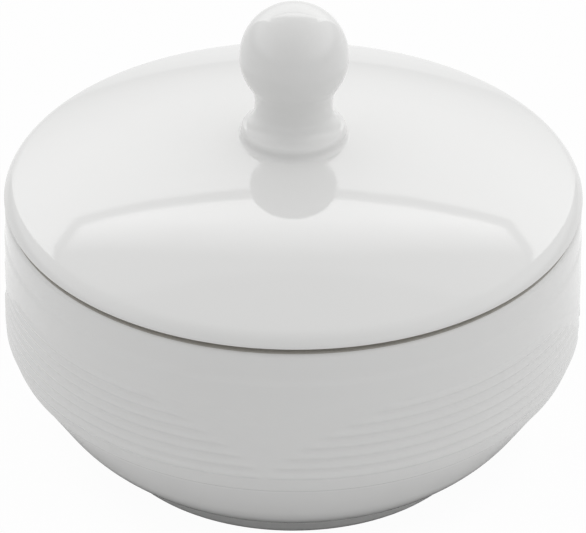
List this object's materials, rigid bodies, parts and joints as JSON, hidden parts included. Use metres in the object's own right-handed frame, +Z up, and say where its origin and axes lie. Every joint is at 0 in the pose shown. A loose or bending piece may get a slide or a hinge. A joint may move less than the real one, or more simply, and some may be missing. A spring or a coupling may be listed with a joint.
{
  "type": "sugar bowl",
  "caption": "Round glazed porcelain sugar bowl with fine ribs on its upright wall, a foot ring, and a domed lift-off lid with a ball knob, located by a flange inside the rim.",
  "frame": {"origin": "centre of the foot ring's resting plane", "axes": "+Z up along the axis of bowl, lid and knob; a plain V panel of the relief faces -Y, the pictured side"},
  "size_m": [0.1004, 0.1004, 0.085],
  "materials": {
    "bowl_porcelain": "clear gloss glaze over white porcelain, foot ring wiped bare",
    "lid_porcelain": "clear gloss glaze over white porcelain",
    "knob_porcelain": "clear gloss glaze over white porcelain"
  },
  "bodies": {
    "bowl": {"bowl": "bowl_porcelain"},
    "lid": {"lid": "lid_porcelain", "lid_knob": "knob_porcelain"}
  },
  "joints": [
    {"name": "lid_lift", "type": "slide", "parent": "bowl", "child": "lid", "axis": [0, 0, 1], "range_m": [0, 0.06]}
  ]
}
